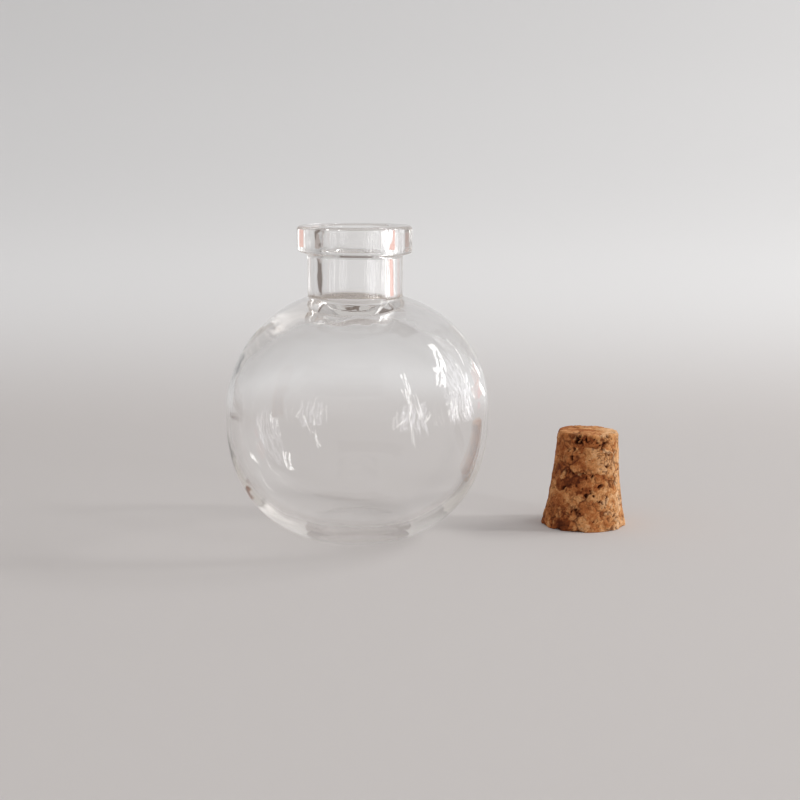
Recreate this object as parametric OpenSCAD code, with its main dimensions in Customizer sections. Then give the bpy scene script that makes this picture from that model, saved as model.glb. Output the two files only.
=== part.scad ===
// Small clear glass globe bottle with a rolled lip, and its tapered cork standing beside it.
// Millimetres. The origin is the centre of the bottle's foot on the table, +Z runs up the neck
// and +X points towards the side where the cork stands.

/* [Ball] */
// Outside diameter at the widest place
ball_d = 30; // [26:0.5:34]
// Height of the widest place above the table
ball_mid = 14.5; // [13.5:0.1:15.5]
// Rise from the widest place to the top of the shoulder curve
shoulder_rise = 14; // [13.5:0.1:15]
// Power of the shoulder curve: 2 is an ellipse, more is squarer
shoulder_power = 2.1; // [2:0.05:2.4]
// Power of the curve below the widest place
belly_power = 2.35; // [2:0.05:2.5]
// Diameter of the flat foot
foot_d = 10.4; // [8:0.2:13]

/* [Glass thickness] */
// At the widest place
side_glass = 0.6; // [0.5:0.1:1.6]
// Above the cavity, where the shoulder closes in to the neck
shoulder_glass = 2.1; // [1.6:0.1:2.4]
// Below the cavity, over the foot
foot_glass = 0.8; // [0.6:0.1:2.4]

/* [Neck and lip] */
// Outside diameter of the neck
neck_d = 10.8; // [10.2:0.1:11.2]
// Diameter of the straight bore that takes the cork
bore_d = 7.5; // [7:0.1:8.2]
// Height of the lip's top face above the table
total_h = 35.7; // [34.5:0.1:38]
// Outside diameter of the lip
lip_d = 13; // [12.6:0.1:14]
// Height of the lip at its outer side
lip_h = 2.9; // [2.2:0.1:3.4]
// Slope of the lip's underside, in degrees
lip_slope = 21; // [5:1:30]

/* [Rounding] */
// Where the neck grows out of the shoulder
neck_round = 0.3; // [0.2:0.1:0.9]
// Where the bore opens into the cavity
throat_round = 0.8; // [0.5:0.1:1.8]
// Upper outer edge of the lip
lip_top_round = 0.4; // [0.2:0.1:1]
// Lower outer edge of the lip
lip_low_round = 0.35; // [0.2:0.05:0.6]
// Corner between the lip's underside and the neck
lip_under_round = 0.3; // [0.2:0.05:0.4]
// Edge of the mouth
mouth_round = 0.3; // [0.2:0.1:0.8]

/* [Cork] */
// Height of the cork
cork_h = 11.2; // [9:0.1:14]
// Diameter at the narrow end, which enters the neck first
cork_top_d = 6.9; // [6:0.1:7.3]
// Diameter at the wide end, on which the cork stands
cork_foot_d = 10; // [9:0.1:11]
// Power of the flare: 1 is a straight cone, more keeps the taper near the wide end
cork_flare = 1.6; // [1:0.1:2]
// Lean of the cork's axis towards +X, because its wide end is cut a little askew
cork_lean = 2; // [0:0.5:3]
// Worn edge round the narrow end
cork_edge = 0.25; // [0.1:0.05:0.5]
// Place of the cork's foot along X, measured from the bottle's axis
cork_x = 26.8; // [24:0.1:34]
// Place of the cork's foot along Y
cork_y = 5.5; // [-8:0.1:8]

/* [Hidden] */
$fn = 96;

// Degrees between neighbouring points of the ball's two curves
curve_step = 3.5;
// Straight steps in each rounded edge
edge_steps = 6;
// Straight steps up the cork's flared side
flare_steps = 14;

ball_r = ball_d / 2;
neck_r = neck_d / 2;
bore_r = bore_d / 2;
lip_r = lip_d / 2;
foot_r = foot_d / 2;

// The belly curve is as deep as it must be to meet the table at the foot's edge.
belly_drop = ball_mid / pow(1 - pow(foot_r / ball_r, belly_power), 1 / belly_power);

// The cavity has curves of the same kind, moved in by the thickness of the glass.
cavity_r = ball_r - side_glass;
cavity_rise = shoulder_rise - shoulder_glass;
cavity_drop = ball_mid - foot_glass;

// A point of a round or squared oval, seen from its centre in the direction of the given angle.
function oval_point(half_width, half_height, power, angle) =
    let (across = pow(abs(cos(angle)) / half_width, power),
         along = pow(abs(sin(angle)) / half_height, power),
         reach = pow(across + along, -1 / power))
    [reach * cos(angle), ball_mid + reach * sin(angle)];

// The same points, from one angle up to another.
function oval_points(half_width, half_height, power, from, to) =
    let (steps = ceil((to - from) / curve_step))
    [for (i = [0:steps]) oval_point(half_width, half_height, power, from + (to - from) * i / steps)];

// Height of an oval's upper half, and its downward slope in degrees, at a distance from the axis.
function oval_height(half_width, half_height, power, r) =
    half_height * pow(1 - pow(r / half_width, power), 1 / power);
function oval_slope(half_width, half_height, power, r) =
    let (h = oval_height(half_width, half_height, power, r))
    atan(pow(half_height / half_width, power) * pow(r / h, power - 1));

// A rounded edge, as points about a centre from one angle to another.
function arc(centre, radius, from, to) =
    [for (i = [0:edge_steps])
        let (angle = from + (to - from) * i / edge_steps)
        centre + radius * [cos(angle), sin(angle)]];

// The oval's upper half, from its widest place up to where it rounds into a tube of radius tube_r.
function oval_to_tube(half_width, half_height, power, tube_r, round) =
    let (slope = oval_slope(half_width, half_height, power, tube_r + round),
         touch_r = tube_r + round * (1 - sin(slope)),
         touch_h = oval_height(half_width, half_height, power, touch_r),
         centre = [tube_r + round, ball_mid + touch_h + round * cos(slope)])
    concat(oval_points(half_width, half_height, power, curve_step,
                       atan2(touch_h, touch_r) - curve_step / 2),
           arc(centre, round, 270 - slope, 180));

function backwards(points) = [for (i = [len(points) - 1:-1:0]) points[i]];

// The lip from the neck, round its underside, side and top edge.
lip_low = [lip_r - lip_low_round, total_h - lip_h + lip_low_round];
lip_turn = lip_low + lip_low_round * [sin(lip_slope), -cos(lip_slope)];
under_run = (lip_turn[0] - neck_r - lip_under_round * (1 - sin(lip_slope))) / cos(lip_slope);
under_centre = lip_turn - under_run * [cos(lip_slope), sin(lip_slope)]
    + lip_under_round * [sin(lip_slope), -cos(lip_slope)];
lip_outline = concat(
    arc(under_centre, lip_under_round, 180, 90 + lip_slope),
    arc(lip_low, lip_low_round, lip_slope - 90, 0),
    arc([lip_r - lip_top_round, total_h - lip_top_round], lip_top_round, 0, 90));

foot_angle = atan2(-ball_mid, foot_r);
ball_outline = concat(
    [[0, 0], [foot_r, 0]],
    oval_points(ball_r, belly_drop, belly_power, foot_angle + curve_step, 0),
    oval_to_tube(ball_r, shoulder_rise, shoulder_power, neck_r, neck_round));

cavity_outline = concat(
    [[0, foot_glass]],
    oval_points(cavity_r, cavity_drop, belly_power, -90 + curve_step, 0),
    oval_to_tube(cavity_r, cavity_rise, shoulder_power, bore_r, throat_round),
    backwards(arc([bore_r + mouth_round, total_h - mouth_round], mouth_round, 90, 180)));

bottle_outline = concat(ball_outline, lip_outline, backwards(cavity_outline));

// Radius of the cork's side at a height above its foot, before it leans.
function cork_radius(h) =
    let (left = 1 - h / cork_h)
    (cork_top_d + (cork_foot_d - cork_top_d) * sign(left) * pow(abs(left), cork_flare)) / 2;

// Extra length below the leaning cork's foot, which the level cut takes off again.
cork_spare = cork_foot_d * sin(cork_lean) + cork_edge;
cork_outline = concat(
    [[0, -cork_spare], [cork_radius(0), -cork_spare]],
    [for (i = [0:flare_steps])
        let (h = (cork_h - cork_edge) * i / flare_steps)
        [cork_radius(h), h]],
    [[cork_top_d / 2 - cork_edge, cork_h], [0, cork_h]]);

// One glass body: ball, shoulder, neck and lip, hollow from the mouth down to the foot.
module bottle() {
    color([0.87, 0.9, 0.89, 0.4])
        rotate_extrude()
            polygon(bottle_outline);
}

// The cork stands on its wide end, cut level where it meets the table.
module cork() {
    color([0.72, 0.51, 0.33])
        translate([cork_x, cork_y, 0])
            intersection() {
                rotate([0, cork_lean, 0])
                    rotate_extrude()
                        polygon(cork_outline);
                translate([-cork_foot_d, -cork_foot_d, 0])
                    cube([2 * cork_foot_d, 2 * cork_foot_d, 2 * cork_h]);
            }
}

bottle();
cork();
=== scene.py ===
"""Looks of a small clear glass globe bottle and of the tapered cork that stands beside it.

Lengths are in millimetres up to the moment that a mesh, light or camera is made, and metres from there.
"""

import math

import bpy
import numpy as np
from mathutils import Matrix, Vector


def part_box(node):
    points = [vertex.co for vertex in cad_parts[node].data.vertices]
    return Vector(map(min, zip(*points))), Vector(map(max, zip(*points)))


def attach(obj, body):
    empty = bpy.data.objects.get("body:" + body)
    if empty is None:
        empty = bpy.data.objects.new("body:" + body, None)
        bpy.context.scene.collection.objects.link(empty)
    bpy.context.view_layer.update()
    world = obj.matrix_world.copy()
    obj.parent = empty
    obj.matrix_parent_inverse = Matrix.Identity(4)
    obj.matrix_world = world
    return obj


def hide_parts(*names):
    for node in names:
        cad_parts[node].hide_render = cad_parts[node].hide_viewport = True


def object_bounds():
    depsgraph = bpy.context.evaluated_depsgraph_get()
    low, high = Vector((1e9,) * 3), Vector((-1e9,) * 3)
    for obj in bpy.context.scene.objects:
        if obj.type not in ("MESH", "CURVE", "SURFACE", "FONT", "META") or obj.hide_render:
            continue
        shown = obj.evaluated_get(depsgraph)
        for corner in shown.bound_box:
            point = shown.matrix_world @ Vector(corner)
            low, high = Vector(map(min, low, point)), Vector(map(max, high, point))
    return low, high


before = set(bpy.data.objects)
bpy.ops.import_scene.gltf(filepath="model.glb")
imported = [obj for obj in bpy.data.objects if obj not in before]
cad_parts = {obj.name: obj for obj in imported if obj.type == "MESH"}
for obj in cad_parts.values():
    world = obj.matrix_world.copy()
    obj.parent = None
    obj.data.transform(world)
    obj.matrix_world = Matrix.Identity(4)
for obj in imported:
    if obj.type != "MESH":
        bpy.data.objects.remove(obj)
cad_low, cad_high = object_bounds()
MM = 0.001

# Stands in for zero where something is divided by it.
TINY = 1e-9


def metres(*lengths):
    return tuple(length * MM for length in lengths)


# Camera

# The photograph's camera, worked out from the bottle's outline and the rings of its neck and foot.
IMAGE_SIDE = 800
SENSOR = 36.0
CAMERA_FOCAL_PX = 1590.7
CAMERA_X = 4.9
CAMERA_DISTANCE = 180.0
CAMERA_HEIGHT = 44.8
CAMERA_PITCH = 9.16
CAMERA_CLIP = (5.0, 20000.0)


def make_camera():
    data = bpy.data.cameras.new("camera")
    data.sensor_width = SENSOR
    data.lens = SENSOR * CAMERA_FOCAL_PX / IMAGE_SIDE
    data.clip_start, data.clip_end = metres(*CAMERA_CLIP)
    camera = bpy.data.objects.new("camera", data)
    camera.location = metres(CAMERA_X, -CAMERA_DISTANCE, CAMERA_HEIGHT)
    camera.rotation_euler = (math.radians(90 - CAMERA_PITCH), 0, 0)
    bpy.context.scene.collection.objects.link(camera)
    bpy.context.scene.camera = camera


# Noise

# Large odd numbers that mix a place and a seed into a random number.
MIXERS = np.array([374761393, 668265263, 2246822519, 3266489917], np.uint32)

# How unequal pressed granules are, as a share of their size.
GRANULE_SWELL = 0.35


def smooth_step(value, low, high):
    share = np.clip((value - low) / (high - low), 0.0, 1.0)
    return share * share * (3 - 2 * share)


def hump(value, rise, fall):
    """Up from 0 to 1 over the first span, and down again over the second."""
    return smooth_step(value, *rise) * (1 - smooth_step(value, *fall))


def lattice(cells, seed):
    """A fixed random number from 0 to 1 for each whole-numbered place in space."""
    i, j, k = (cells[..., axis].astype(np.int64).astype(np.uint32) for axis in range(3))
    seeded = np.uint32(seed * int(MIXERS[3]) % 2 ** 32)
    mixed = i * MIXERS[0] + j * MIXERS[1] + k * MIXERS[2] + seeded
    mixed = (mixed ^ (mixed >> np.uint32(15))) * MIXERS[2]
    mixed = (mixed ^ (mixed >> np.uint32(13))) * MIXERS[3]
    return (mixed ^ (mixed >> np.uint32(16))).astype(np.float64) / 2 ** 32


def noise(points, size, seed):
    """Smooth noise from -1 to 1 whose bumps are about the given size, which may differ by axis."""
    place = points / np.asarray(size, float)
    cell = np.floor(place)
    share = place - cell
    share = share ** 3 * (share * (share * 6 - 15) + 10)
    total = np.zeros(place.shape[:-1])
    for corner in np.ndindex(2, 2, 2):
        step = np.array(corner[::-1])
        weight = np.prod(np.where(step, share, 1 - share), -1)
        total += weight * lattice(cell + step, seed)
    return total * 2 - 1


def vector_noise(points, size, seed):
    """Three noises at each point, to push it aside by."""
    return np.stack([noise(points, size, seed + axis) for axis in range(3)], -1)


def waves(points, layers):
    """Layers of noise on each other, each given as its height, size and seed."""
    return sum(height * noise(points, size, seed) for height, size, seed in layers)


def patches(points, size, span, seed):
    """Soft-edged patches of 1 on 0: a patch grows where the noise goes through the span."""
    return smooth_step(noise(points, size, seed), *span)


def granules(points, size, seed):
    """Pressed granules: how far each point is inside its granule, and two random numbers for the granule."""
    place = points / size
    cell = np.floor(place)
    nearest = np.full(place.shape[:-1], np.inf)
    second = nearest.copy()
    tone, kind = np.zeros_like(nearest), np.zeros_like(nearest)
    for step in np.ndindex(3, 3, 3):
        other = cell + step - 1
        centre = other + np.stack([lattice(other, seed + axis) for axis in range(3)], -1)
        reach = np.linalg.norm(place - centre, axis=-1) - GRANULE_SWELL * lattice(other, seed + 3)
        closer = reach < nearest
        second = np.where(closer, nearest, np.minimum(second, reach))
        tone = np.where(closer, lattice(other, seed + 4), tone)
        kind = np.where(closer, lattice(other, seed + 5), kind)
        nearest = np.where(closer, reach, nearest)
    return (second - nearest) * size, tone, kind


# Meshes and materials

def new_mesh(name, points, faces, material):
    mesh = bpy.data.meshes.new(name)
    mesh.from_pydata(np.asarray(points).tolist(), [], faces)
    mesh.polygons.foreach_set("use_smooth", [True] * len(mesh.polygons))
    mesh.materials.append(material)
    mesh.update()
    obj = bpy.data.objects.new(name, mesh)
    bpy.context.scene.collection.objects.link(obj)
    return obj


def paint(obj, name, colours):
    """Gives each point of a mesh a colour that its material can read."""
    layer = obj.data.color_attributes.new(name, "FLOAT_COLOR", "POINT")
    filled = np.concatenate([colours, np.ones((len(colours), 1))], 1)
    layer.data.foreach_set("color", filled.astype(np.float32).ravel())


def turned(profile, turns):
    """An outline of radii and heights turned round the upright axis, as one ring of points for each."""
    angle = np.linspace(0, 2 * math.pi, turns, endpoint=False)
    spoke = np.stack([np.cos(angle), np.sin(angle)], 1)
    return np.concatenate([profile[:, :1, None] * spoke, np.repeat(profile[:, 1:, None], turns, 1)], -1)


def ring_faces(rings, turns):
    """Faces of rings of points one after another, closed on the two single points that follow the rings."""
    turn = np.arange(turns)
    after = (turn + 1) % turns
    base = np.arange(rings - 1)[:, None] * turns
    quads = np.stack([base + turn, base + after, base + turns + after, base + turns + turn], -1)
    end = (rings - 1) * turns
    first = np.full(turns, rings * turns)
    start_fan = np.stack([first, after, turn], -1)
    end_fan = np.stack([end + turn, end + after, first + 1], -1)
    return quads.reshape(-1, 4).tolist() + start_fan.tolist() + end_fan.tolist()


class Nodes:
    """Short names for making and joining a material's shader nodes."""

    def __init__(self, name):
        self.material = bpy.data.materials.new(name)
        self.material.use_nodes = True
        self.tree = self.material.node_tree
        self.tree.nodes.clear()

    def add(self, kind, sockets=None, **settings):
        """A new node. Each socket takes a value, another node's output, or another node's first output."""
        node = self.tree.nodes.new(kind)
        for key, value in settings.items():
            setattr(node, key, value)
        for key, value in (sockets or {}).items():
            if isinstance(value, bpy.types.Node):
                value = value.outputs[0]
            if isinstance(value, bpy.types.NodeSocket):
                self.tree.links.new(value, node.inputs[key])
            else:
                node.inputs[key].default_value = value
        return node

    def finish(self, **sockets):
        self.add("ShaderNodeOutputMaterial", sockets)
        return self.material


# Bottle

# The turned outline, with the same sizes as the frame's solid.
BALL_R = (cad_high[1] - cad_low[1]) / 2 / MM
TOTAL_H = cad_high[2] / MM
BALL_MID = 14.5
SHOULDER_RISE = 14.0
SHOULDER_POWER = 2.1
BELLY_POWER = 2.35
FOOT_R = 5.2
SIDE_GLASS = 0.6
SHOULDER_GLASS = 2.1
FOOT_GLASS = 0.8
NECK_R = 5.4
BORE_R = 3.75
LIP_R = 6.5
LIP_H = 2.9
LIP_SLOPE = math.radians(21)
NECK_ROUND = 0.3
THROAT_ROUND = 0.8
LIP_TOP_ROUND = 0.4
LIP_LOW_ROUND = 0.35
LIP_UNDER_ROUND = 0.3
MOUTH_ROUND = 0.3
BELLY_DROP = BALL_MID / (1 - (FOOT_R / BALL_R) ** BELLY_POWER) ** (1 / BELLY_POWER)

CURVE_POINTS = 84
EDGE_POINTS = 8
STRAIGHT_STEP = 0.35
BOTTLE_TURNS = 220

# How hand-made glass strays from its turned shape, in layers of noise: height, size, which may differ by
# axis, and seed. The inside, which no mould touches, ripples more. Its bore and lip have upright streaks,
# the rest has slow waves, and lumps lie on those under the shoulder.
OUTER_WAVES = [(0.020, 6.0, 11), (0.009, (1.7, 1.7, 2.6), 12)]
BORE_STREAKS = [(0.020, (0.9, 0.9, 14.0), 21), (0.010, (3.0, 3.0, 2.0), 22), (0.008, (0.6, 0.6, 1.3), 26)]
LIP_STREAKS = [(0.022, (0.7, 0.7, 0.9), 27)]
INNER_WAVES = [(0.032, 6.5, 23), (0.008, (2.0, 2.0, 4.5), 24)]
SHOULDER_LUMPS = [(0.018, (2.6, 2.6, 1.1), 25), (0.006, (1.0, 1.0, 0.7), 28)]

# The heights over which each of them sets in.
OUTER_WAVES_FROM = (0.3, 3.0)
BORE_FROM = (25.5, 27.0)
LIP_FROM = (31.6, 32.6)
LUMPS_FROM = (21.5, 25.0)

# The lip was pressed a little askew, deeper on its right side. The neck stands a little to the left, and
# the shoulder bulges a little to the right. The heights are those over which each sets in and ends.
LIP_DROP = 0.25
LIP_DROP_RISE, LIP_DROP_FALL = (31.0, 32.8), (33.4, 35.2)
NECK_SHIFT = -0.2
NECK_SHIFT_RISE = (25.0, 29.0)
SHOULDER_SHIFT = 0.15
SHOULDER_SHIFT_RISE, SHOULDER_SHIFT_FALL = (14.5, 20.0), (25.0, 28.0)

# How strongly the glass bends light, its faint warm tint, and how dense that tint is.
GLASS_IOR = 1.5
GLASS_TINT = (0.93, 0.90, 0.865, 1)
GLASS_TINT_DENSITY = 38.0

# How much light the glass lets through to the table where it is seen edge on, and how far from square on,
# from 0 to 1, it starts to dim it.
SHADOW_EDGE = 0.64
SHADOW_FROM = 0.25


def oval(half_width, half_height, power, start, end, count):
    angle = np.linspace(start, end, count)
    across = (np.abs(np.cos(angle)) / half_width) ** power
    along = (np.abs(np.sin(angle)) / half_height) ** power
    reach = (across + along) ** (-1 / power)
    return np.stack([reach * np.cos(angle), BALL_MID + reach * np.sin(angle)], 1)


def arc(centre, radius, start, end):
    angle = np.radians(np.linspace(start, end, EDGE_POINTS))
    return np.asarray(centre) + radius * np.stack([np.cos(angle), np.sin(angle)], 1)


def straight(start, end):
    """The points between two ends, without the ends."""
    start, end = np.asarray(start, float), np.asarray(end, float)
    count = max(2, int(np.linalg.norm(end - start) / STRAIGHT_STEP))
    return start + (end - start) * np.linspace(0, 1, count + 1)[1:-1, None]


def oval_to_tube(half_width, half_height, power, tube_r, rounding):
    """An oval's upper half, up to where it rounds into a tube."""

    def height(r):
        return half_height * (1 - (r / half_width) ** power) ** (1 / power)

    near = tube_r + rounding
    slope = math.atan((half_height / half_width) ** power * (near / height(near)) ** (power - 1))
    touch_r = tube_r + rounding * (1 - math.sin(slope))
    touch_h = height(touch_r)
    centre = (near, BALL_MID + touch_h + rounding * math.cos(slope))
    curve = oval(half_width, half_height, power, 0, math.atan2(touch_h, touch_r), CURVE_POINTS)
    return np.concatenate([curve[1:-1], arc(centre, rounding, 270 - math.degrees(slope), 180)])


def lip_outline():
    slope_deg = math.degrees(LIP_SLOPE)
    along = np.array([math.cos(LIP_SLOPE), math.sin(LIP_SLOPE)])
    down = np.array([math.sin(LIP_SLOPE), -math.cos(LIP_SLOPE)])
    low = np.array([LIP_R - LIP_LOW_ROUND, TOTAL_H - LIP_H + LIP_LOW_ROUND])
    turn = low + LIP_LOW_ROUND * down
    run = (turn[0] - NECK_R - LIP_UNDER_ROUND * (1 - down[0])) / along[0]
    under = turn - run * along + LIP_UNDER_ROUND * down
    inner = arc(under, LIP_UNDER_ROUND, 180, 90 + slope_deg)
    outer = arc(low, LIP_LOW_ROUND, slope_deg - 90, 0)
    top = arc((LIP_R - LIP_TOP_ROUND, TOTAL_H - LIP_TOP_ROUND), LIP_TOP_ROUND, 0, 90)
    return np.concatenate([
        inner, straight(inner[-1], outer[0]), outer, straight(outer[-1], top[0]), top])


def bottle_outline():
    """Radius and height: the outside from the middle of the foot up, and the inside from the mouth down."""
    cavity_r = BALL_R - SIDE_GLASS
    foot_angle = math.atan2(-BALL_MID, FOOT_R)
    belly = oval(BALL_R, BELLY_DROP, BELLY_POWER, foot_angle, 0, CURVE_POINTS)
    shoulder = oval_to_tube(BALL_R, SHOULDER_RISE, SHOULDER_POWER, NECK_R, NECK_ROUND)
    lip = lip_outline()
    mouth = arc((BORE_R + MOUTH_ROUND, TOTAL_H - MOUTH_ROUND), MOUTH_ROUND, 90, 180)
    throat = oval_to_tube(cavity_r, SHOULDER_RISE - SHOULDER_GLASS, SHOULDER_POWER, BORE_R, THROAT_ROUND)
    throat = throat[::-1]
    floor = oval(cavity_r, BALL_MID - FOOT_GLASS, BELLY_POWER, 0, -math.pi / 2, CURVE_POINTS)
    foot = straight((0, 0), (FOOT_R, 0))
    outside = [foot, belly, shoulder, straight(shoulder[-1], lip[0]), lip]
    inside = [straight(lip[-1], mouth[0]), mouth, straight(mouth[-1], throat[0]), throat, floor[:-1]]
    return np.concatenate(outside), np.concatenate(inside)


def outline_normals(outline):
    """Directions that point out of the solid, square to the outline."""
    along = np.gradient(outline, axis=0)
    normal = np.stack([along[:, 1], -along[:, 0]], 1)
    return normal / np.linalg.norm(normal, axis=1, keepdims=True)


def outer_waves(points):
    """How far the glass strays from its true outside shape at each point."""
    return smooth_step(points[..., 2], *OUTER_WAVES_FROM) * waves(points, OUTER_WAVES)


def inner_waves(points):
    """The same for the inside."""
    height = points[..., 2]
    bore = smooth_step(height, *BORE_FROM)
    streaks = waves(points, BORE_STREAKS) + smooth_step(height, *LIP_FROM) * waves(points, LIP_STREAKS)
    lumps = hump(height, LUMPS_FROM, BORE_FROM) * waves(points, SHOULDER_LUMPS)
    return bore * streaks + (1 - bore) * waves(points, INNER_WAVES) + lumps


def set_askew(points):
    """Shifts the shoulder and the neck, and lowers the underside of the lip on its right."""
    height = points[..., 2]
    shoulder = hump(height, SHOULDER_SHIFT_RISE, SHOULDER_SHIFT_FALL)
    neck = smooth_step(height, *NECK_SHIFT_RISE)
    under = hump(height, LIP_DROP_RISE, LIP_DROP_FALL)
    points[..., 2] -= under * LIP_DROP * (LIP_R + points[..., 0]) / (2 * LIP_R)
    points[..., 0] += NECK_SHIFT * neck + SHOULDER_SHIFT * shoulder
    return points


def bottle_mesh():
    outside, inside = bottle_outline()
    outline = np.concatenate([outside, inside])
    rings = turned(outline, BOTTLE_TURNS)
    outward = turned(outline_normals(outline), BOTTLE_TURNS)
    count = len(outside)
    stray = np.concatenate([outer_waves(rings[:count]), inner_waves(rings[count:])])
    rings = set_askew(rings + outward * stray[..., None])
    reach = np.linalg.norm(rings[..., :2], axis=-1, keepdims=True)
    rings[..., :2] *= np.minimum(1.0, BALL_R / np.maximum(reach, TINY))
    rings[..., 2] = np.clip(rings[..., 2], 0, TOTAL_H)
    points = np.concatenate([rings.reshape(-1, 3), [(0, 0, 0), (0, 0, FOOT_GLASS)]])
    return points, ring_faces(len(outline), BOTTLE_TURNS)


def glass_material():
    """Tinted glass that lets the light through to the table, dimmed only where it is seen edge on."""
    nodes = Nodes("clear_glass")
    path = nodes.add("ShaderNodeLightPath")
    glass = nodes.add("ShaderNodeBsdfPrincipled", {
        "Base Color": (1, 1, 1, 1), "Roughness": 0.0, "IOR": GLASS_IOR, "Transmission Weight": 1.0})
    facing = nodes.add("ShaderNodeLayerWeight", {"Blend": 0.5})
    dim = nodes.add("ShaderNodeMapRange", {
        "Value": facing.outputs["Facing"],
        "From Min": SHADOW_FROM, "From Max": 1.0, "To Min": 1.0, "To Max": SHADOW_EDGE})
    clear = nodes.add("ShaderNodeBsdfTransparent")
    shadow = nodes.add("ShaderNodeBsdfTransparent", {"Color": dim})
    seen = nodes.add("ShaderNodeMixShader", {0: path.outputs["Is Diffuse Ray"], 1: glass, 2: clear})
    whole = nodes.add("ShaderNodeMixShader", {0: path.outputs["Is Shadow Ray"], 1: seen, 2: shadow})
    tint = nodes.add("ShaderNodeVolumeAbsorption", {"Color": GLASS_TINT, "Density": GLASS_TINT_DENSITY})
    return nodes.finish(Surface=whole, Volume=tint)


def make_bottle():
    points, faces = bottle_mesh()
    bottle = new_mesh("glass_bottle", points * MM, faces, glass_material())
    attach(bottle, "bottle")
    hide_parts("bottle")


# Cork

# The plain shape, with the same sizes as the frame's solid.
CORK_H = 11.2
CORK_TOP_R = 3.45
CORK_FOOT_R = 5.0
CORK_FLARE = 1.6
CORK_LEAN = math.radians(2)
CORK_X = 26.8
CORK_Y = 5.5
CORK_EDGE = 0.25
CORK_FOOT_EDGE = 0.05
CORK_TURNS = 360
CORK_SIDE_RINGS = 150
CORK_END_RINGS = 34

# How far the narrow end drops at its rim, and over what width.
END_DROP = 0.04
END_DROP_WIDTH = 0.15

# Size and seed of the pressed granules, of the crumbs that they are made of, and of the grain of those.
GRANULES = (1.35, 40)
CRUMBS = (0.52, 50)
GRAIN = (0.24, 57)

# What bends the outlines of granules and crumbs: how far, size and seed. The finer one also bends the
# grain, but less far.
WARP = (0.28, 0.8, 31)
FINE_WARP = (0.10, 0.3, 35)
GRAIN_WARP = 0.06

# Patches of the cork, as size, span of the noise, and seed: where its granules are loose, where it is
# crumbly, where the crumbs have come apart, and where its rims are chipped.
LOOSE = (1.4, (0.0, 0.7), 60)
CRUMBLY = (1.8, (-0.3, 0.5), 61)
OPEN_CRUMBS = (1.0, (0.15, 0.6), 64)
CHIPPED = (0.9, (0.0, 0.7), 70)

# Widths of the grooves round granules, least and added where they are loose, and of the cracks round
# crumbs. The groove round a granule that isn't loose is a share of a full one.
GROOVE_WIDTH = (0.10, 0.20)
CRACK_WIDTH = 0.11
TIGHT_GROOVE = 0.25

# Dark specks: size and seed of the specks and of the places that have many of them, how much such a place
# counts, and the span of the noise.
SPECKS = (0.21, 71)
SPECK_PLACES = (1.1, 72)
SPECK_CROWDING = 0.55
SPECK_SPAN = (0.48, 0.72)

# What makes the outlines of single granules and pits ragged, as height, size and seed.
RAGGED = [(0.45, 0.45, 66), (0.50, 0.2, 67)]

# The heights over which the narrow end's paler colour and the fuller upper side set in, and the places
# along X over which the right side's painted light does: the side towards the lamps is painted paler.
END_FROM = (CORK_H - 0.16, CORK_H - 0.03)
FULLER_FROM = (3.0, 9.0)
LIT_RIGHT_FROM = (-0.8, 3.5)

# How far each feature lifts the surface, and how much paler it makes it on a scale of tones from 0 to 1, the
# right side's being painted light. Then how much it takes of the specks' own colour, painted as shade in
# grooves and cracks.
LIFT = {
    "granule": 0.07, "groove": -0.12, "crack": -0.07, "crumb": 0.06, "lump": 0.03, "grain": 0.02,
    "speck": -0.05, "fuller": 0.14}
PALER = {
    "granule": 0.36, "kind": 0.16, "crumb": 0.10, "crumbly": 0.22, "grain": 0.16, "blotch": 0.10,
    "right": 0.33, "end": 0.10}
PAINTED_SHADE_AND_SPECKS = {"groove": 0.85, "crack": 0.75, "speck": 0.65}

# The share of a groove's painted shade that it keeps where the cork is crumbly but not loose, and the share
# of the specks' colour that the narrow end goes without.
CRUMBLY_GROOVE = 0.5
END_SPECKS_LOST = 0.6

# The tone of plain cork, the random number of a granule that neither rises nor sinks, and the soft lumps
# and blotches that lie over the granules, as size and seed.
MIDDLE_TONE = 0.42
LEVEL_GRANULE = 0.6
LUMP = (0.45, 62)
BLOTCH = (0.40, 65)

# Each of the spots below: how ragged it is, where its edge starts as a share of its radius, how much it
# takes away of the relief and of the colour beneath it, how strongly its crumbs and grain show, and the
# painted shade of a groove round it: middle and width as shares of the radius, and strength.
SPOT_RAGGED = 0.45
SPOT_EDGE = 0.75
SPOT_FLAT = 0.6
SPOT_COVER = 0.88
SPOT_CRUMB = 0.20
SPOT_GRAIN = 0.14
SPOT_SHADE_RING = (1.03, 0.07, 0.8)

# A pit's wall, as shares of its radius.
PIT_WALL = (0.45, 1.05)

# Chips out of both rims: depth, depth inwards, and reach from the rim.
CHIP_DEPTH = 0.17
CHIP_INWARD = 0.10
CHIP_REACH = 0.3

# The share of the relief that the narrow end and the foot have, and how near to either its points lie.
END_RELIEF, END_NEAR = 0.55, 0.01
FOOT_RELIEF, FOOT_NEAR = 0.6, 0.03

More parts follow.
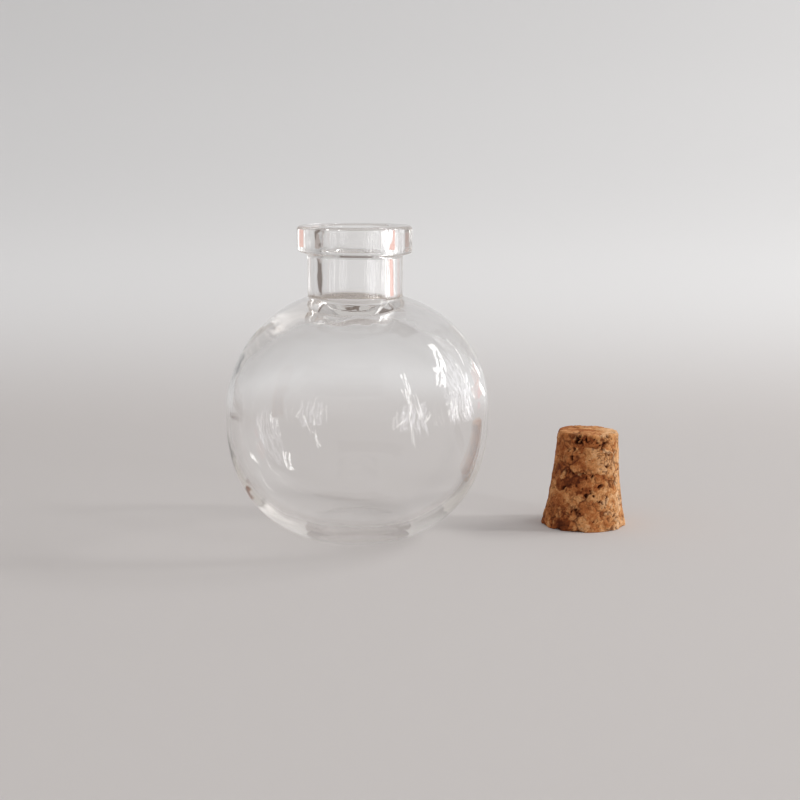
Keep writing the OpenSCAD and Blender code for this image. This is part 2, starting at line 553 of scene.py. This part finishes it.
# Holes in the cork's side: turn from +X in degrees, height, radius, depth.
PITS = [
    (-107, 10.40, 0.42, 0.60), (-114, 10.85, 0.38, 0.50), (-116, 10.60, 0.30, 0.40),
    (-94, 10.60, 0.16, 0.22), (-125, 9.50, 0.26, 0.35), (-125, 8.50, 0.28, 0.42),
    (-128, 7.20, 0.24, 0.35), (-84, 6.35, 0.24, 0.40), (-160, 4.80, 0.24, 0.35),
    (-134, 4.90, 0.26, 0.35), (-88, 4.30, 0.26, 0.40), (-96, 4.10, 0.30, 0.45),
    (-55, 11.00, 0.26, 0.35), (-63, 10.20, 0.22, 0.32), (-59, 8.90, 0.18, 0.30),
    (-66, 9.20, 0.13, 0.22), (-58, 7.50, 0.22, 0.28), (-73, 5.30, 0.22, 0.30),
    (-71, 3.60, 0.18, 0.25), (-62, 3.75, 0.12, 0.20), (-32, 4.50, 0.18, 0.22),
    (-45, 0.30, 0.20, 0.25), (-47, 1.50, 0.28, 0.30), (-112, 2.40, 0.26, 0.32),
    (-83, 1.25, 0.16, 0.22), (-162, 2.20, 0.18, 0.22), (-85, 10.90, 0.16, 0.20),
    (-78, 10.50, 0.14, 0.20), (-84, 4.60, 0.16, 0.24), (-79, 4.95, 0.16, 0.24),
    (-75, 5.15, 0.14, 0.20), (-99, 3.95, 0.20, 0.28), (-59, 10.40, 0.24, 0.32),
    (-66, 10.05, 0.28, 0.32), (-73, 10.05, 0.16, 0.24), (-73, 10.75, 0.12, 0.18),
    (-134, 9.20, 0.20, 0.28), (-137, 8.10, 0.18, 0.24), (-155, 6.20, 0.14, 0.20),
    (-163, 8.30, 0.16, 0.22), (-119, 2.10, 0.18, 0.24), (-104, 2.20, 0.18, 0.24),
    (-150, 0.60, 0.24, 0.26), (-120, 6.80, 0.16, 0.24), (-104, 6.90, 0.22, 0.28),
    (-97, 6.20, 0.16, 0.24), (-110, 5.40, 0.18, 0.24), (-121, 5.35, 0.18, 0.26),
    (40, 8.20, 0.26, 0.35), (75, 3.60, 0.32, 0.40), (118, 9.40, 0.24, 0.32),
    (150, 5.60, 0.30, 0.40), (172, 8.90, 0.20, 0.28), (12, 3.10, 0.28, 0.34),
    (98, 6.40, 0.22, 0.30), (60, 10.60, 0.28, 0.30),
]

# Granules and stains that stand out: turn in degrees, height, radius, tone from 0 dark to 1 pale, lift.
SPOTS = [
    (-118, 3.90, 1.10, 0.60, 0.06), (-129, 5.75, 0.70, 0.08, -0.05), (-113, 6.10, 0.70, 0.03, -0.06),
    (-101, 6.35, 0.60, 0.10, -0.04), (-92, 5.40, 0.45, 0.42, 0.06), (-59, 9.45, 0.42, 0.92, 0.05),
    (-78, 8.90, 0.95, 0.72, 0.03), (-65, 8.10, 0.80, 0.76, 0.02), (-31, 2.60, 0.45, 0.93, 0.05),
    (-38, 1.30, 0.60, 0.90, 0.05), (-129, 1.15, 0.45, 0.62, 0.05), (-126, 0.70, 1.10, 0.05, -0.03),
    (-108, 9.70, 0.70, 0.24, -0.03), (-159, 4.30, 0.80, 0.60, 0.04), (-49, 7.00, 0.75, 0.74, 0.02),
    (-92, 7.10, 0.55, 0.58, 0.03), (-142, 3.20, 0.95, 0.38, 0.02), (-75, 4.30, 0.80, 0.62, 0.03),
]

# Cork from its darkest stains, by way of red-brown and ochre, to its palest granules.
CORK_TONES = [0.0, 0.22, 0.45, 0.68, 1.0]
CORK_COLOURS = np.array([
    (0.10, 0.024, 0.008), (0.27, 0.072, 0.020), (0.46, 0.160, 0.050),
    (0.65, 0.310, 0.122), (0.88, 0.55, 0.31)])
# The specks' own colour, which is also painted as shade into grooves, cracks and pits, and how it sets in.
SPECK_AND_SHADE_COLOUR = np.array((0.085, 0.018, 0.008))
SPECK_AND_SHADE_POWER = 1.2

# The finest grit, in the material alone: its noise's scale for each metre, the span that it darkens and
# lightens the colour by, and the height of its bumps in metres.
GRIT_SCALE = 5200.0
GRIT_TONES = (0.76, 1.16)
GRIT_HEIGHT = 0.00004

# The places of a colour Mix node's two colours among its inputs, and of its result among its outputs.
MIX_FIRST, MIX_SECOND, MIX_RESULT = 6, 7, 2


def cork_radius(height):
    return CORK_TOP_R + (CORK_FOOT_R - CORK_TOP_R) * (1 - height / CORK_H) ** CORK_FLARE


def cork_outline():
    """Radius and height from the middle of the foot, up the flared side, to the middle of the narrow end."""
    foot_reach = np.linspace(0, CORK_FOOT_R - CORK_FOOT_EDGE, CORK_END_RINGS + 1)[1:]
    foot = np.stack([foot_reach, np.zeros(CORK_END_RINGS)], 1)
    height = np.linspace(CORK_FOOT_EDGE, CORK_H - CORK_EDGE, CORK_SIDE_RINGS)
    side = np.stack([cork_radius(height), height], 1)
    reach = np.linspace(CORK_TOP_R - CORK_EDGE / 2, 0, CORK_END_RINGS + 1)[:-1]
    top = np.stack([reach, CORK_H - END_DROP * np.exp(-(CORK_TOP_R - reach) / END_DROP_WIDTH)], 1)
    return np.concatenate([foot, side, top])


def from_spot(points, turn, height):
    """How far each point is from the place on the cork's side at a turn in degrees and a height."""
    angle = math.radians(turn)
    radius = cork_radius(height)
    place = (radius * math.cos(angle), radius * math.sin(angle), height)
    return np.linalg.norm(points - place, axis=-1)


def cork_relief(points):
    """Height over the plain shape, how pale each point is, with painted light on the right side, and how
    much it takes of the specks' own colour, which is also painted as shade into grooves, cracks and pits.
    """
    warp, fine_warp = (vector_noise(points, size, seed) for _, size, seed in (WARP, FINE_WARP))
    bent = points + WARP[0] * warp + FINE_WARP[0] * fine_warp
    gap, tone, kind = granules(bent, *GRANULES)
    crumb_gap, crumb, _ = granules(bent, *CRUMBS)
    _, grain, _ = granules(points + GRAIN_WARP * fine_warp, *GRAIN)
    loose, crumbly = patches(points, *LOOSE), patches(points, *CRUMBLY)
    groove = 1 - smooth_step(gap, 0.0, GROOVE_WIDTH[0] + GROOVE_WIDTH[1] * loose)
    groove *= TIGHT_GROOVE + (1 - TIGHT_GROOVE) * loose
    crack = (1 - smooth_step(crumb_gap, 0.0, CRACK_WIDTH)) * patches(points, *OPEN_CRUMBS)
    crowding = SPECK_CROWDING * noise(points, *SPECK_PLACES)
    speck = smooth_step(noise(bent, *SPECKS) + crowding, *SPECK_SPAN)
    end = smooth_step(points[..., 2], *END_FROM)
    # Painted light: the right side, which faces the lamps, is made paler.
    right = smooth_step(points[..., 0], *LIT_RIGHT_FROM)
    ragged = 1 + waves(points, RAGGED)

    relief = LIFT["granule"] * (tone - LEVEL_GRANULE) + LIFT["groove"] * groove + LIFT["crack"] * crack
    relief += LIFT["crumb"] * crumbly * (crumb - 0.5) + LIFT["lump"] * noise(points, *LUMP)
    relief += LIFT["grain"] * (grain - 0.5)
    shade = MIDDLE_TONE + PALER["granule"] * (tone - 0.5) + PALER["kind"] * (kind - 0.5)
    shade += (PALER["crumb"] + PALER["crumbly"] * crumbly) * (crumb - 0.5) + PALER["grain"] * (grain - 0.5)
    shade += PALER["blotch"] * noise(points, *BLOTCH) + PALER["right"] * right + PALER["end"] * end

    shade_ring_middle, shade_ring_width, shade_ring_strength = SPOT_SHADE_RING
    for turn, height, radius, pale, lift in SPOTS:
        away = from_spot(bent, turn, height) * (1 + SPOT_RAGGED * (ragged - 1))
        inside = 1 - smooth_step(away, SPOT_EDGE * radius, radius)
        own = pale + SPOT_CRUMB * (crumb - 0.5) + SPOT_GRAIN * (grain - 0.5)
        ring_shade = np.exp(-((away / radius - shade_ring_middle) / shade_ring_width) ** 2)
        relief += inside * (lift - SPOT_FLAT * relief)
        shade += inside * SPOT_COVER * (own - shade)
        groove = np.maximum(groove * (1 - inside), shade_ring_strength * crumbly * ring_shade)

    # Painted shade in the grooves and cracks, and the specks in their own colour.
    specks_and_painted_shade = PAINTED_SHADE_AND_SPECKS["groove"] * groove * np.maximum(loose, CRUMBLY_GROOVE * crumbly)
    specks_and_painted_shade = np.maximum(specks_and_painted_shade, PAINTED_SHADE_AND_SPECKS["crack"] * crack)
    specks_and_painted_shade = np.maximum(specks_and_painted_shade, PAINTED_SHADE_AND_SPECKS["speck"] * speck * (1 - END_SPECKS_LOST * end))
    relief += LIFT["fuller"] * smooth_step(points[..., 2], *FULLER_FROM) + LIFT["speck"] * speck
    # The pits are sunk, and painted with the same colour as shade.
    for turn, height, radius, depth in PITS:
        hole = 1 - smooth_step(from_spot(bent, turn, height) / radius * ragged, *PIT_WALL)
        relief -= depth * hole
        specks_and_painted_shade = np.maximum(specks_and_painted_shade, hole)
    return relief, np.clip(shade, 0, 1), np.clip(specks_and_painted_shade, 0, 1)


def cork_colours(shade, specks_and_painted_shade):
    colours = np.stack([np.interp(shade, CORK_TONES, CORK_COLOURS[:, n]) for n in range(3)], -1)
    # The colour goes over the specks and, as painted shade, into grooves, cracks and pits.
    return colours + specks_and_painted_shade[:, None] ** SPECK_AND_SHADE_POWER * (SPECK_AND_SHADE_COLOUR - colours)


def cork_mesh():
    outline = cork_outline()
    rings = turned(outline, CORK_TURNS)
    outward = turned(outline_normals(outline), CORK_TURNS)
    points = np.concatenate([rings.reshape(-1, 3), [(0, 0, 0), (0, 0, CORK_H)]])
    outward = np.concatenate([outward.reshape(-1, 3), [(0, 0, -1), (0, 0, 1)]])
    relief, shade, specks_and_painted_shade = cork_relief(points)

    height = points[:, 2]
    reach = np.linalg.norm(points[:, :2], axis=1)
    side = outline[CORK_END_RINGS:-CORK_END_RINGS]
    rim = np.minimum(height, CORK_H - height) + np.abs(reach - np.interp(height, side[:, 1], side[:, 0]))
    chip = patches(points, *CHIPPED) * np.exp(-rim / CHIP_REACH)
    relief -= CHIP_DEPTH * chip
    relief = np.where(height > CORK_H - END_NEAR, END_RELIEF * relief, relief)
    spoke = points * (1, 1, 0) / np.maximum(reach, TINY)[:, None]
    moved = points + outward * relief[:, None] - spoke * (CHIP_INWARD * chip)[:, None]
    moved[:, 2] = np.where(height < FOOT_NEAR, np.maximum(0.0, -relief * FOOT_RELIEF), moved[:, 2])

    lean = math.tan(CORK_LEAN)
    moved[:, 2] -= moved[:, 0] * lean * moved[:, 2] / CORK_H
    moved[:, 0] += CORK_X + moved[:, 2] * lean
    moved[:, 1] += CORK_Y
    low, high = (np.array(corner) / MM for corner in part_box("cork"))
    return np.clip(moved, low, high), ring_faces(len(outline), CORK_TURNS), cork_colours(shade, specks_and_painted_shade)


def cork_material():
    nodes = Nodes("cork")
    place = nodes.add("ShaderNodeTexCoord")
    tone = nodes.add("ShaderNodeVertexColor", layer_name="granules")
    grit = nodes.add("ShaderNodeTexNoise", {
        "Vector": place.outputs["Object"], "Scale": GRIT_SCALE, "Detail": 3.0, "Roughness": 0.6})
    spread = nodes.add("ShaderNodeMapRange", {
        "Value": grit.outputs["Fac"],
        "From Min": 0.30, "From Max": 0.70, "To Min": GRIT_TONES[0], "To Max": GRIT_TONES[1]})
    colour = nodes.add("ShaderNodeMix", {
        "Factor": 1.0, MIX_FIRST: tone, MIX_SECOND: spread}, data_type="RGBA", blend_type="MULTIPLY")
    bump = nodes.add("ShaderNodeBump", {
        "Height": grit.outputs["Fac"], "Strength": 0.35, "Distance": GRIT_HEIGHT})
    shader = nodes.add("ShaderNodeBsdfPrincipled", {
        "Base Color": colour.outputs[MIX_RESULT], "Roughness": 0.82, "Specular IOR Level": 0.12,
        "Normal": bump})
    return nodes.finish(Surface=shader)


def make_cork():
    points, faces, colours = cork_mesh()
    cork = new_mesh("granular_cork", points * MM, faces, cork_material())
    paint(cork, "granules", colours)
    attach(cork, "cork")
    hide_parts("cork")


# Stage

# The pale paper sweep: level under the bottle, then bending up behind it.
SWEEP_HALF_WIDTH = 900.0
SWEEP_NEAR = -900.0
SWEEP_FINE_NEAR = -200.0
SWEEP_BEND_START = 70.0
SWEEP_BEND_R = 200.0
SWEEP_TOP = 900.0
SWEEP_STEP = 5.0
FLOOR_PAPER = np.array((0.83, 0.795, 0.787))
WALL_PAPER = np.array((0.845, 0.846, 0.858))

# How pale the paper is, by the distance along it from the start of its bend: the least, and then painted
# light:
# a brighter band low in the bend (how much more, its middle and its width), the paler wall above the band,
# and the paler floor near the viewer.
PAPER_PALE = 0.75
LIT_BAND_PALE, LIT_BAND_MIDDLE, LIT_BAND_WIDTH = 0.24, 85.0, 50.0
LIT_UPPER_PALE, UPPER_FROM = 0.11, (100.0, 160.0)
LIT_NEAR_PALE, NEAR_UNTIL = 0.02, (-140.0, -20.0)
WALL_COLOUR_FROM = (0.0, 90.0)


def paper_colours_with_painted_light(run):
    # Painted light: a bright band low in the bend, a paler wall above it and a paler floor near the viewer.
    pale = PAPER_PALE + LIT_BAND_PALE * np.exp(-((run - LIT_BAND_MIDDLE) / LIT_BAND_WIDTH) ** 2)
    pale += LIT_UPPER_PALE * smooth_step(run, *UPPER_FROM) + LIT_NEAR_PALE * (1 - smooth_step(run, *NEAR_UNTIL))
    wall = smooth_step(run, *WALL_COLOUR_FROM)[:, None]
    return pale[:, None] * (FLOOR_PAPER + wall * (WALL_PAPER - FLOOR_PAPER))


def make_sweep():
    bend_length = SWEEP_BEND_R * math.pi / 2
    run = np.concatenate([
        [SWEEP_NEAR - SWEEP_BEND_START], np.arange(SWEEP_FINE_NEAR, bend_length, SWEEP_STEP),
        [bend_length, bend_length + SWEEP_TOP - SWEEP_BEND_R]])
    angle = np.clip(run, 0, bend_length) / SWEEP_BEND_R
    y = SWEEP_BEND_START + np.minimum(run, 0) + SWEEP_BEND_R * np.sin(angle)
    z = SWEEP_BEND_R * (1 - np.cos(angle)) + np.maximum(run - bend_length, 0)
    count = len(run)
    points = np.concatenate([
        np.stack([np.full(count, side), y, z], 1) for side in (-SWEEP_HALF_WIDTH, SWEEP_HALF_WIDTH)])
    faces = [(i, count + i, count + i + 1, i + 1) for i in range(count - 1)]
    nodes = Nodes("paper")
    tone = nodes.add("ShaderNodeVertexColor", layer_name="tone")
    shader = nodes.add("ShaderNodeBsdfPrincipled", {
        "Base Color": tone, "Roughness": 0.9, "Specular IOR Level": 0.0})
    sweep = new_mesh("sweep", points * MM, faces, nodes.finish(Surface=shader))
    paint(sweep, "tone", np.tile(paper_colours_with_painted_light(run), (2, 1)))


# Light

WHITE = (1.0, 1.0, 0.98)
SKY = (0.94, 0.94, 1.0)
ROOM = (1.0, 0.975, 0.955)
ROOM_STRENGTH = 0.58

# The lamps that light the paper and the cork: turn from +X and height above the level in degrees, as least
# and most, seen from the middle of the ball, and brightness.
LAMPS = [
    ("window", (-3, 3.5), (20, 40), 18.0),
    ("window_next", (9, 17), (32, 43), 13.0),
    ("window_far", (20, 28), (37, 45), 13.0),
    ("front_window", (-42.5, -38.5), (12, 30), 11.0),
]
LAMP_DISTANCE = 700.0

# Watts for each square metre of a lamp of brightness 1.
LAMP_POWER = 4.0

# What the glass mirrors of the room is painted on parts of globes round the bottle, which come down to just
# over the paper below its level. All places on them are turns from +X and heights above the level, in
# degrees, seen from the middle of the ball: name, radius, least and most turn, and least and most height.
GLOBES = [
    ("room", 200.0, (-64, 76), (-16, 50)),
    ("room_left", 200.0, (122, 168), (-10, 7)),
    ("room_near", 76.0, (14, 52), (-6, 16)),
    ("room_top", 200.0, (60, 130), (40, 66)),
    ("room_front", 200.0, (-152, -58), (30, 54)),
]
GLOBE_STEP = 0.35
GLOBE_OVER_PAPER = 0.3

# Light that bounces more often than this between the walls of the glass shows only the plain room.
DEEPEST_IMAGE = 6

# Strokes of daylight, from windows and from the gaps between their curtains, on the globe named below: the
# places of both ends, the widths and brightnesses there, and the colour. The broad faint ones near the end
# are soft light from the sky. A stroke's place in the list is the seed of its folds.
DAYLIGHT_GLOBE = "room"
DAYLIGHT = [
    ((18.5, 44), (0, 28), (6.5, 9.0), (9, 12), WHITE),
    ((-43, 38), (-43, 14), (4.6, 2.6), (20, 9), WHITE),
    ((-43, 14), (-44, -14), (2.4, 1.2), (7, 4), WHITE),
    ((-39, 18), (-34, -1), (2.8, 2.8), (9, 6), WHITE),
    ((-26, 1), (-30, -4), (4.0, 3.0), (5, 4), WHITE),
    ((-50, 1), (-54, -4), (4.0, 3.0), (5, 4), WHITE),
    ((-34, 9), (-30, -6), (1.2, 1.5), (2, 2), WHITE),
    ((-21, 8), (-21, -7), (1.4, 1.4), (2.5, 2), WHITE),
    ((-56, 7), (-57, -7), (2.0, 2.0), (2.5, 3.5), WHITE),
    ((-50, 9), (-49, -5), (3.0, 3.0), (1.5, 2), WHITE),
    ((-15, 2), (-13, -7), (2.0, 2.0), (1.2, 1.2), WHITE),
    ((-4, 15), (-3, 9), (4.0, 5.0), (4, 5), WHITE),
    ((0, 5), (0, -6), (9.0, 8.0), (4, 7), WHITE),
    ((5, 15), (9, 3), (1.3, 1.3), (4, 3), WHITE),
    ((1, 12), (3, 3), (1.3, 1.3), (4, 3), WHITE),
    ((9, 0), (12, -7), (1.5, 1.5), (3, 3), WHITE),
    ((21, 2), (24, -4), (1.8, 1.8), (4, 3), WHITE),
    ((19, -2), (19, -6), (1.5, 1.5), (3, 3), WHITE),
    ((28, 15), (22, 4), (4.0, 5.0), (3, 5), SKY),
    ((38, 13), (37, 5), (3.0, 4.0), (3, 8), WHITE),
    ((55, 3), (55, -4), (5.0, 5.0), (0.3, 0.3), WHITE),
    ((48, 12), (55, 2), (3.5, 3.0), (5, 6), WHITE),
    ((63, 3), (72, 12), (2.0, 2.0), (5, 4), WHITE),
    ((20, 38), (12, 6), (9.0, 8.0), (1.2, 1.8), SKY),
    ((11, 32), (11, -8), (26.0, 30.0), (1.3, 2.0), SKY),
    ((-40, 10), (-41, -9), (22.0, 22.0), (3.0, 2.6), SKY),
    ((42, 31), (32, 18), (3.0, 4.0), (3, 5), WHITE),
]

# A stroke's soft side, and the length over which it fades in at its ends.
SOFT_SIDE = 0.7
SOFT_END = 1.5

# The folds along a stroke: how far they slant, then the sizes across and along them, the spans of the noise,
# and what is added to the seed, first for the folds and then for the gaps in them. Gaps are this deep.
FOLD_SLANT = 0.12
FOLDS = ((1.0, 11.0, 1.0), (0.08, 0.30), 0)
GAPS = ((1.6, 3.0, 1.0), (0.20, 0.45), 40)
GAP_DEPTH = 0.8

# Painted reflections of dull things beside the windows: the globe, least and most turn and height, colour,
# and how much they cover.
THINGS = [
    ("room_near", (29, 45), (4.6, 13), (0.96, 0.43, 0.32), 0.6),
    ("room_near", (32, 38), (-2.5, 2.2), (1.2, 0.55, 0.60), 0.6),
    ("room_left", (133.5, 158), (-8.6, 1.3), (0.14, 0.10, 0.08), 0.85),
    ("room_left", (131, 155), (1.3, 4.5), (0.28, 0.19, 0.15), 0.55),
    ("room_top", (66, 108), (43, 63), (0.10, 0.06, 0.04), 0.75),
    ("room_front", (-146, -64), (34, 49), (0.10, 0.06, 0.04), 0.8),
]

# How often light may bounce, and how often it may pass straight through something clear.
BOUNCES = 64
CLEAR_BOUNCES = 24


def make_lamp(name, turns, heights, brightness):
    turn = math.radians(sum(turns) / 2)
    height = math.radians(sum(heights) / 2)
    flat = math.cos(height)
    towards = np.array([flat * math.cos(turn), flat * math.sin(turn), math.sin(height)])
    width = 2 * LAMP_DISTANCE * flat * math.tan(math.radians(turns[1] - turns[0]) / 2)
    tall = 2 * LAMP_DISTANCE * math.tan(math.radians(heights[1] - heights[0]) / 2)
    data = bpy.data.lights.new(name, "AREA")
    data.shape = "RECTANGLE"
    data.size, data.size_y = metres(width, tall)
    data.color = WHITE
    data.energy = LAMP_POWER * brightness * data.size * data.size_y
    lamp = bpy.data.objects.new(name, data)
    lamp.location = (towards * LAMP_DISTANCE + (0, 0, BALL_MID)) * MM
    lamp.rotation_euler = (math.pi / 2 - height, 0, turn + math.pi / 2)
    lamp.visible_camera = lamp.visible_glossy = lamp.visible_transmission = False
    bpy.context.scene.collection.objects.link(lamp)


def daylight(places, start, end, widths, strengths, seed):
    """The brightness of one soft-edged stroke at each place, broken by folds that run along it."""
    start, end = np.array(start, float), np.array(end, float)
    narrowing = (math.cos(math.radians((start[1] + end[1]) / 2)), 1)
    axis = (end - start) * narrowing
    length = np.linalg.norm(axis)
    axis = axis / length
    away = (places - start) * narrowing
    along, across = away @ axis, away @ (-axis[1], axis[0])
    share = np.clip(along / length, 0, 1)
    half = (widths[0] + (widths[1] - widths[0]) * share) / 2
    side = 1 - smooth_step(np.abs(across), half - SOFT_SIDE, half + SOFT_SIDE)
    ends = hump(along, (-SOFT_SIDE, SOFT_END), (length - SOFT_END, length + SOFT_SIDE))
    spot = np.stack([across + FOLD_SLANT * along, along, np.zeros_like(along)], -1)
    fold, gap = (patches(spot, size, span, seed + more) for size, span, more in (FOLDS, GAPS))
    brightness = strengths[0] + (strengths[1] - strengths[0]) * share
    return side * ends * (1 - fold) * (1 - GAP_DEPTH * gap) * brightness


def soft_box(places, turns, heights):
    inside = np.ones(len(places))
    soft = np.array([-SOFT_SIDE, SOFT_SIDE]) / 2
    for axis, (least, most) in enumerate((turns, heights)):
        inside *= hump(places[:, axis], least + soft, most + soft)
    return inside


def globe_mesh(radius, turns, heights):
    """Part of a globe that comes down to the paper: points, faces, and each point's turn and height."""
    across = np.arange(*turns, GLOBE_STEP)
    up = np.arange(*heights, GLOBE_STEP)
    turn, height = (grid.ravel() for grid in np.meshgrid(across, up))
    slope = np.radians(height)
    reach = np.minimum(radius, (BALL_MID - GLOBE_OVER_PAPER) / np.maximum(-np.sin(slope), TINY))
    spoke = np.stack([np.cos(np.radians(turn)), np.sin(np.radians(turn))], 1)
    points = np.column_stack([spoke * (reach * np.cos(slope))[:, None], BALL_MID + reach * np.sin(slope)])
    row = len(across)
    corner = (np.arange(len(up) - 1)[:, None] * row + np.arange(row - 1)).ravel()
    faces = np.stack([corner, corner + 1, corner + row + 1, corner + row], 1)
    return points, faces.tolist(), np.stack([turn, height], 1)


def globe_colours(name, places):
    """The light that a globe adds at each place, and the share of what lies behind that it lets through."""
    glow = np.zeros((len(places), 3))
    clear = np.ones(len(places))
    for globe_name, turns, heights, colour, share in THINGS:
        if globe_name == name:
            inside = share * soft_box(places, turns, heights)
            glow += inside[:, None] * colour
            clear -= inside
    if name == DAYLIGHT_GLOBE:
        for seed, (*stroke, colour) in enumerate(DAYLIGHT):
            glow += daylight(places, *stroke, seed)[:, None] * colour
    return glow, np.repeat(np.maximum(clear, 0)[:, None], 3, 1)


def globe_material(name):
    """Light on clear nothing, and plain clear nothing for light that has bounced too often."""
    nodes = Nodes(name)
    path = nodes.add("ShaderNodeLightPath")
    light = nodes.add("ShaderNodeEmission", {
        "Color": nodes.add("ShaderNodeVertexColor", layer_name="glow")})
    through = nodes.add("ShaderNodeBsdfTransparent", {
        "Color": nodes.add("ShaderNodeVertexColor", layer_name="clear")})
    both = nodes.add("ShaderNodeAddShader", {0: light, 1: through})
    unseen = nodes.add("ShaderNodeBsdfTransparent")
    deep = nodes.add("ShaderNodeMath", {
        0: path.outputs["Ray Depth"], 1: DEEPEST_IMAGE + 0.5}, operation="GREATER_THAN")
    whole = nodes.add("ShaderNodeMixShader", {0: deep, 1: both, 2: unseen})
    nodes.material.cycles.emission_sampling = "NONE"
    return nodes.finish(Surface=whole)


def make_globe(name, radius, turns, heights):
    """Painted room that only the glass sees: it adds its light to what lies behind it, or dulls that."""
    points, faces, places = globe_mesh(radius, turns, heights)
    glow, clear = globe_colours(name, places)
    globe = new_mesh(name, points * MM, faces, globe_material(name))
    paint(globe, "glow", glow)
    paint(globe, "clear", clear)
    globe.visible_camera = globe.visible_diffuse = globe.visible_shadow = False


def make_lights():
    world = bpy.data.worlds.new("room")
    bpy.context.scene.world = world
    world.use_nodes = True
    background = world.node_tree.nodes["Background"]
    background.inputs["Color"].default_value = (*ROOM, 1)
    background.inputs["Strength"].default_value = ROOM_STRENGTH
    for lamp in LAMPS:
        make_lamp(*lamp)
    for globe in GLOBES:
        make_globe(*globe)


def set_look():
    scene = bpy.context.scene
    scene.view_settings.view_transform = "Standard"
    scene.cycles.max_bounces = BOUNCES
    scene.cycles.transmission_bounces = BOUNCES
    scene.cycles.glossy_bounces = BOUNCES
    scene.cycles.transparent_max_bounces = CLEAR_BOUNCES
    scene.cycles.caustics_refractive = False
    scene.cycles.caustics_reflective = False


make_camera()
make_sweep()
make_lights()
set_look()
make_bottle()
make_cork()
